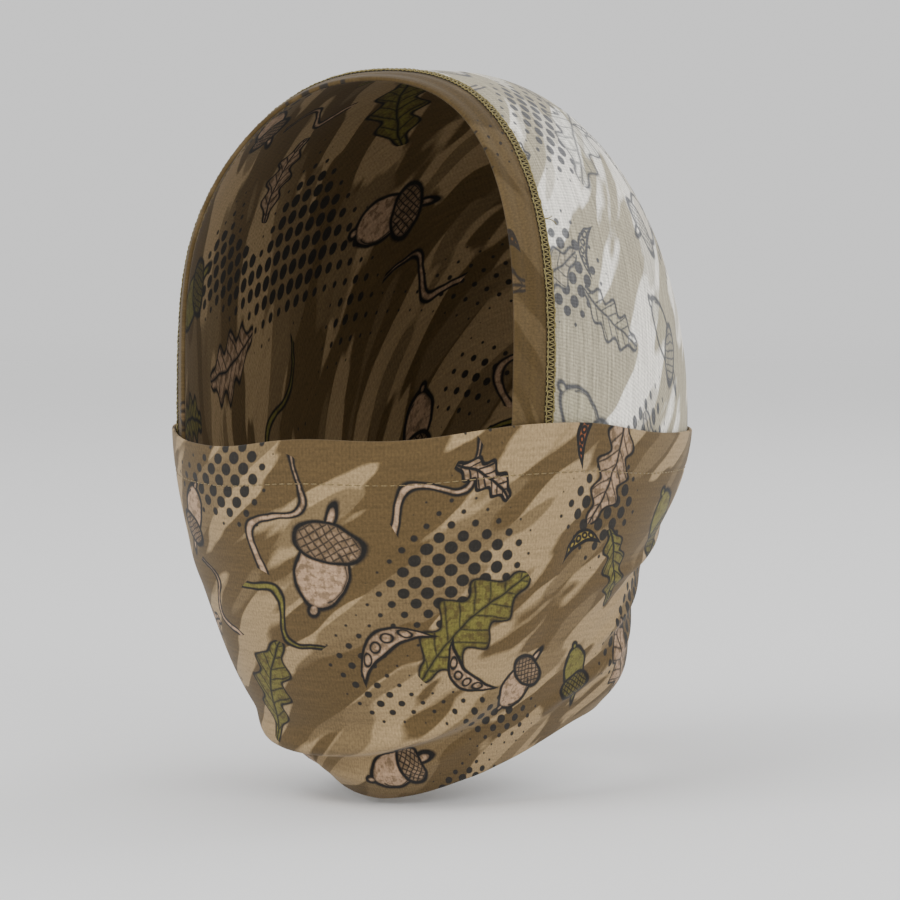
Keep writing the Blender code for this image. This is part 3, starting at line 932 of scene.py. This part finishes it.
mask_pattern = flat_pattern(np.array(mask_along), PATTERN_ROUND)
mask = cloth_mesh("mask_cloth_knit", np.array(mask_rows), mask_pattern, (RIGHT_SIDE, REVERSE), outward=-1)
print("mask cloth triangles:", 2 * len(mask.data.polygons))

# %% Nose hem
NOSE_HEM_TOP, NOSE_HEM_END, NOSE_HEM_ROWS = 1.7 * MM, 13.0 * MM, 14
nose_hem_rows, nose_hem_along = [], []
for distance in np.linspace(NOSE_HEM_TOP, NOSE_HEM_END, NOSE_HEM_ROWS):
    nose_hem_rows.append(mask_row(np.full(COLUMNS, distance), NOSE_HEM_LIFT - MASK_LIFT))
    nose_hem_along.append(np.full(COLUMNS, -distance))
nose_hem_grid, nose_hem_pattern = np.array(nose_hem_rows), flat_pattern(np.array(nose_hem_along), PATTERN_ROUND)
nose_hem = cloth_mesh("nose_hem_knit", nose_hem_grid, nose_hem_pattern, (REVERSE, RIGHT_SIDE), outward=-1)
print(f"nose hem {(NOSE_HEM_END - NOSE_HEM_TOP) / MM:.1f} mm deep")

# %% [markdown]
# ## Stitches
#
# The hems are sewn by machine. An overlock binds the raw edge of the face hem: loops of olive thread lie
# across it like a ladder, with a needle line along one side. The nose hem is held by a needle thread outside
# and a looper thread inside. One small stitch is drawn for each, and Geometry Nodes sets it along the seam.

# %% Thread and stitch shapes
def thread_mesh(name, paths, radius, sides=6):
    """Closed round threads along open paths, as one mesh at the origin."""
    points, faces = [], []
    for path in paths:
        path = np.array(path, float)
        ahead = np.gradient(path, axis=0)
        ahead /= np.linalg.norm(ahead, axis=1, keepdims=True)
        side = np.cross(ahead, [0.13, 0.21, 1.0])
        side /= np.linalg.norm(side, axis=1, keepdims=True)
        over = np.cross(side, ahead)
        first = len(points)
        for centre, a, b in zip(path, side, over):
            for k in range(sides):
                turn = 2 * math.pi * k / sides
                points.append(centre + (a * math.cos(turn) + b * math.sin(turn)) * radius)
        for row in range(len(path) - 1):
            for k in range(sides):
                here, following = first + row * sides + k, first + row * sides + (k + 1) % sides
                faces.append((here, following, following + sides, here + sides))
        faces.append(tuple(first + k for k in reversed(range(sides))))
        faces.append(tuple(first + (len(path) - 1) * sides + k for k in range(sides)))
    mesh = bpy.data.meshes.new(name)
    mesh.from_pydata([tuple(point) for point in points], [], faces)
    mesh.polygons.foreach_set("use_smooth", np.ones(len(faces), bool))
    mesh.update()
    made = bpy.data.objects.new(name, mesh)
    bpy.context.scene.collection.objects.link(made)
    made.hide_render = True
    return made


def arc_path(start, end, rise, steps=7):
    """A path between two points in mm that rises in the middle and dives at both ends."""
    start, end, up = (np.array(point, float) for point in (start, end, (0, 0, rise)))
    shares = np.linspace(0, 1, steps)
    return [(start * (1 - share) + end * share + up * math.sin(math.pi * share)) * MM for share in shares]

# %% One stitch of each kind, in mm along the seam, across it and out of the cloth
OVERLOCK_PITCH = 1.55
HALF_PITCH = OVERLOCK_PITCH / 2
OVERLOCK_REACH = 1.42
LINK = HALF_PITCH + 0.1
overlock_paths = [
    arc_path((-HALF_PITCH, -OVERLOCK_REACH, 0), (0.05, OVERLOCK_REACH, 0), 0.30, 6),
    arc_path((0.05, OVERLOCK_REACH, 0), (HALF_PITCH, -OVERLOCK_REACH, 0), 0.26, 6),
]
for edge in (-OVERLOCK_REACH, OVERLOCK_REACH):
    for cross in (-0.15, 0.15):
        overlock_paths.append(arc_path((-LINK, edge - cross, 0.02), (LINK, edge + cross, 0.02), 0.26, 6))
overlock_stitch = thread_mesh("overlock stitch", overlock_paths, 0.20 * MM, 5)
needle_stitch = thread_mesh("needle stitch", [arc_path((-1.0, 0, -0.18), (1.0, 0, -0.18), 0.26)], 0.19 * MM)
looper_stitch = thread_mesh("looper stitch", [
    arc_path((-1.3, -0.55, 0), (0.0, 0.65, 0), 0.08),
    arc_path((0.0, 0.65, 0), (1.3, -0.55, 0), 0.08),
], 0.17 * MM)

# %% Stitch-setting node tree
def stitch_tree():
    """Sets a stitch on each point of a seam, x along the seam and z out of the cloth, each a bit different."""
    tree = bpy.data.node_groups.new("set stitches", "GeometryNodeTree")
    inputs = {"Seam": "Geometry", "Stitch": "Object", "Thread": "Material", "Unevenness": "Float", "Seed": "Int"}
    for label, kind in inputs.items():
        tree.interface.new_socket(label, in_out="INPUT", socket_type="NodeSocket" + kind)
    tree.interface.new_socket("Stitches", in_out="OUTPUT", socket_type="NodeSocketGeometry")
    start, end = tree.nodes.new("NodeGroupInput"), tree.nodes.new("NodeGroupOutput")
    points = tree.nodes.new("GeometryNodeMeshToPoints")
    tree.links.new(start.outputs["Seam"], points.inputs["Mesh"])
    axes = []
    for label in ("along", "out"):
        named = tree.nodes.new("GeometryNodeInputNamedAttribute")
        named.data_type = "FLOAT_VECTOR"
        named.inputs["Name"].default_value = label
        axes.append(named.outputs["Attribute"])
    turn = tree.nodes.new("FunctionNodeAxesToRotation")
    turn.primary_axis, turn.secondary_axis = "Z", "X"
    tree.links.new(axes[1], turn.inputs[0])
    tree.links.new(axes[0], turn.inputs[1])
    uneven = tree.nodes.new("FunctionNodeRandomValue")
    uneven.data_type = "FLOAT_VECTOR"
    for limit, operation in (("Min", "SUBTRACT"), ("Max", "ADD")):
        size = node(tree, "ShaderNodeMath", 1.0, start.outputs["Unevenness"], operation=operation)
        tree.links.new(node(tree, "ShaderNodeCombineXYZ", 1.0, size, size), uneven.inputs[limit])
    tree.links.new(start.outputs["Seed"], uneven.inputs["Seed"])
    stitch = tree.nodes.new("GeometryNodeObjectInfo")
    stitch.inputs["As Instance"].default_value = True
    tree.links.new(start.outputs["Stitch"], stitch.inputs["Object"])
    placed = tree.nodes.new("GeometryNodeInstanceOnPoints")
    tree.links.new(points.outputs[0], placed.inputs["Points"])
    tree.links.new(stitch.outputs["Geometry"], placed.inputs["Instance"])
    tree.links.new(turn.outputs[0], placed.inputs["Rotation"])
    tree.links.new(uneven.outputs["Value"], placed.inputs["Scale"])
    real = tree.nodes.new("GeometryNodeRealizeInstances")
    tree.links.new(placed.outputs[0], real.inputs[0])
    dyed = tree.nodes.new("GeometryNodeSetMaterial")
    tree.links.new(real.outputs[0], dyed.inputs["Geometry"])
    tree.links.new(start.outputs["Thread"], dyed.inputs["Material"])
    tree.links.new(dyed.outputs[0], end.inputs[0])
    return tree


STITCH_TREE = stitch_tree()


def sew(name, ring, normals, pitch, stitch, thread, unevenness, seed):
    """A row of stitches along a closed ring of points, one every pitch mm."""
    loop = np.vstack([ring, ring[:1]])
    length = np.concatenate([[0], np.cumsum(np.linalg.norm(np.diff(loop, axis=0), axis=1))])
    count = round(length[-1] / (pitch * MM))
    at = np.linspace(0, length[-1], count, endpoint=False)
    outs = np.vstack([normals, normals[:1]])
    places = np.stack([np.interp(at, length, loop[:, axis]) for axis in range(3)], axis=1)
    out = np.stack([np.interp(at, length, outs[:, axis]) for axis in range(3)], axis=1)
    along = np.roll(places, -1, axis=0) - np.roll(places, 1, axis=0)
    mesh = bpy.data.meshes.new(name)
    mesh.from_pydata(places.tolist(), [], [])
    for label, vectors in (("along", along), ("out", out)):
        unit = vectors / np.linalg.norm(vectors, axis=1, keepdims=True)
        field = mesh.attributes.new(label, "FLOAT_VECTOR", "POINT")
        field.data.foreach_set("vector", unit.reshape(-1).astype(np.float32))
    seam = bpy.data.objects.new(name + " seam", mesh)
    bpy.context.scene.collection.objects.link(seam)
    setter = seam.modifiers.new("stitches", "NODES")
    setter.node_group = STITCH_TREE
    items = STITCH_TREE.interface.items_tree
    sockets = {item.name: item.identifier for item in items if item.in_out == "INPUT"}
    for label, value in (("Stitch", stitch), ("Thread", thread), ("Unevenness", unevenness), ("Seed", seed)):
        setter[sockets[label]] = value
    graph = bpy.context.evaluated_depsgraph_get()
    sewn = bpy.data.meshes.new_from_object(seam.evaluated_get(graph), depsgraph=graph)
    bpy.data.objects.remove(seam)
    sewn.polygons.foreach_set("use_smooth", np.ones(len(sewn.polygons), bool))
    made = bpy.data.objects.new(name, sewn)
    bpy.context.scene.collection.objects.link(made)
    print(f"{name}: {count} stitches, {len(sewn.polygons)} faces")
    return made

# %% Sew the hems
FACE_STITCH = 11.5 * MM
HALF_CLOTH = CLOTH / MM / 2
seam_points = hood_at(np.full(COLUMNS, OVERLOCK_MIDDLE))
seam_ring = hood_rows(np.full((1, COLUMNS), OVERLOCK_MIDDLE), [FACE_HEM_LIFT + HALF_CLOTH + 0.14])[0]
overlock = sew("face_hem_overlock_threads", seam_ring, form_normal(seam_points), OVERLOCK_PITCH,
               overlock_stitch, OLIVE_THREAD, 0.16, 7)

inside_ring = hood_rows(np.full((1, COLUMNS), FACE_STITCH), [HOOD_LIFT - HALF_CLOTH - 0.05])[0]
inwards = -form_normal(hood_at(np.full(COLUMNS, FACE_STITCH)))
face_needle = sew("face_hem_needle_stitches", inside_ring, inwards, 2.6, needle_stitch, BROWN_THREAD, 0.1, 11)

stitch_line = np.full(COLUMNS, NOSE_STITCH * MM)
outwards = form_normal(mask_ring(stitch_line))
outer_ring = mask_row(stitch_line, HALF_CLOTH + 0.05)
nose_needle = sew("nose_hem_needle_stitches", outer_ring, outwards, 2.8, needle_stitch, BROWN_THREAD, 0.1, 13)
looper_ring = mask_row(stitch_line, NOSE_HEM_LIFT - MASK_LIFT - HALF_CLOTH - 0.2)
nose_looper = sew("nose_hem_looper_threads", looper_ring, -outwards, 2.6,
                  looper_stitch, BROWN_THREAD, 0.1, 17)

# %% A loose end hangs from the overlock at the temple, and a tied-off knot sits in it higher up
TAIL_LEVEL, KNOT_LEVEL = 71 * MM, 91 * MM
KNOT_RADIUS = 0.55


def seam_frame(level):
    """The seam's point at a level on the wearer's left, and its along, across and out directions."""
    column = int(np.argmin(np.abs(seam_ring[:, 2] - level) + (seam_ring[:, 0] < 0)))
    along = seam_ring[(column + 1) % COLUMNS] - seam_ring[column - 1]
    along /= np.linalg.norm(along)
    out = form_normal(seam_points)[column]
    return seam_ring[column], along, np.cross(out, along), out


loose = []
start, along, across, out = seam_frame(TAIL_LEVEL)
for hang, lean, rise in ((4.8, 1.6, 0.7), (3.5, -1.1, 1.0)):
    path = []
    for share in np.linspace(0, 1, 12):
        sideways = across * (1.2 + hang * share) + along * lean * share * share
        path.append(start + (sideways + out * (0.2 + rise * math.sin(2.8 * share))) * MM)
    loose.append(path)
start, along, across, out = seam_frame(KNOT_LEVEL)
for tilt in (0.0, 1.1, 2.2):
    side = along * math.cos(tilt) + out * math.sin(tilt)
    path = []
    for turn in np.linspace(0, 5.6, 14):
        turned = across * math.cos(turn) + side * math.sin(turn)
        path.append(start + (across * 0.8 + turned * KNOT_RADIUS + out * 0.5) * MM)
    loose.append(path)
tail = thread_mesh("overlock_thread_tail", loose, 0.16 * MM)
tail.hide_render = False
tail.data.materials.append(OLIVE_THREAD)
for used in (overlock_stitch, needle_stitch, looper_stitch):
    bpy.data.objects.remove(used)

# %% [markdown]
# ## Fitting to the frame
#
# Everything behind the face rides on the head. The mask's wall slides down in front and stays at the nape, but
# here its pieces are only set in place, on no body.

# %% Ride and replace
for piece in (hood, face_hem, overlock, face_needle, tail):
    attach(piece, "hood")
for piece in (mask, nose_hem, nose_needle, nose_looper):
    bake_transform(piece)
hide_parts("hood_cloth")
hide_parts("face_hem")
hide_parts("face_hem_overlock")
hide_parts("face_hem_needle_thread")
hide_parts("mask_front_cloth", "mask_back_cloth")
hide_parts("nose_hem_front", "nose_hem_back")
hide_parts("nose_hem_front_needle_thread", "nose_hem_back_needle_thread")
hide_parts("nose_hem_front_looper_thread", "nose_hem_back_looper_thread")


def layer_area(piece):
    """Half the area of a closed sheet, which is one layer."""
    areas = np.empty(len(piece.data.polygons))
    piece.data.polygons.foreach_get("area", areas)
    return areas.sum() / 2


print("layer areas in m2:", round(layer_area(hood), 4), round(layer_area(mask), 4))

# %% [markdown]
# ## Setting
#
# A pale floor, a broad soft light from the front left, a weaker one from the right, and a camera at head
# height a little to the wearer's left.

# %% Floor
FLOOR_GAP, FLOOR_REACH = 2 * MM, 4.0
FADE_START, FADE_END = 1.2, 3.8
level = cad_box[0][2] - FLOOR_GAP
corners = [(x * FLOOR_REACH, y * FLOOR_REACH, level) for x, y in ((-1, -1), (1, -1), (1, 1), (-1, 1))]
floor_mesh = bpy.data.meshes.new("floor")
floor_mesh.from_pydata(corners, [], [(0, 1, 2, 3)])
floor = bpy.data.objects.new("floor", floor_mesh)
bpy.context.scene.collection.objects.link(floor)
floor_finish = bpy.data.materials.new("matt white paper")
floor_finish.use_nodes = True
tree = floor_finish.node_tree
paper = tree.nodes["Principled BSDF"]
paper.inputs["Base Color"].default_value = linear("#eeeeee")
paper.inputs["Roughness"].default_value = 0.9
# the paper fades into the studio's light far behind the object, so no edge of it shows
away = node(tree, "ShaderNodeVectorMath", node(tree, "ShaderNodeTexCoord", out=3), out=1, operation="LENGTH")
fade = node(tree, "ShaderNodeMapRange", away, FADE_START, FADE_END, 0.0, 1.0, interpolation_type="SMOOTHSTEP")
blended = node(tree, "ShaderNodeMixShader", fade, paper.outputs[0], node(tree, "ShaderNodeBsdfTransparent"))
tree.links.new(blended, tree.nodes["Material Output"].inputs["Surface"])
floor_mesh.materials.append(floor_finish)
print("floor at", round(level / MM, 1), "mm")

# %% Lights
def soft_light(name, place, power, size):
    """A square area light that faces the object."""
    light = bpy.data.lights.new(name, "AREA")
    light.energy, light.size = power, size
    lamp = bpy.data.objects.new(name, light)
    bpy.context.scene.collection.objects.link(lamp)
    lamp.location = place
    lamp.rotation_euler = (-Vector(place)).to_track_quat("-Z", "Y").to_euler()
    return lamp


soft_light("key", (-0.7, -1.5, 1.3), 24, 1.4)
soft_light("fill", (1.5, -1.0, 0.6), 15.5, 1.3)
soft_light("rim", (0.8, 1.4, 1.2), 12, 1.2)
world = bpy.data.worlds.new("studio")
world.use_nodes = True
world.node_tree.nodes["Background"].inputs[0].default_value = (1, 1, 1, 1)
world.node_tree.nodes["Background"].inputs[1].default_value = 0.95
bpy.context.scene.world = world

# %% Camera: a long lens, a little to the wearer's left and above
azimuth, elevation, distance = math.radians(25), math.radians(4), 1.4
LENS = 169
AIM_RIGHT, AIM_DOWN = 6.6 * MM, 6.6 * MM
level_back = Vector((math.sin(azimuth), -math.cos(azimuth), 0))
back = level_back * math.cos(elevation) + Vector((0, 0, math.sin(elevation)))
right = Vector((math.cos(azimuth), math.sin(azimuth), 0))
up = back.cross(right)
camera = bpy.data.objects.new("camera", bpy.data.cameras.new("camera"))
bpy.context.scene.collection.objects.link(camera)
camera.data.lens = LENS
camera.location = right * AIM_RIGHT - up * AIM_DOWN + back * distance
camera.rotation_euler = back.to_track_quat("Z", "Y").to_euler()
bpy.context.scene.camera = camera
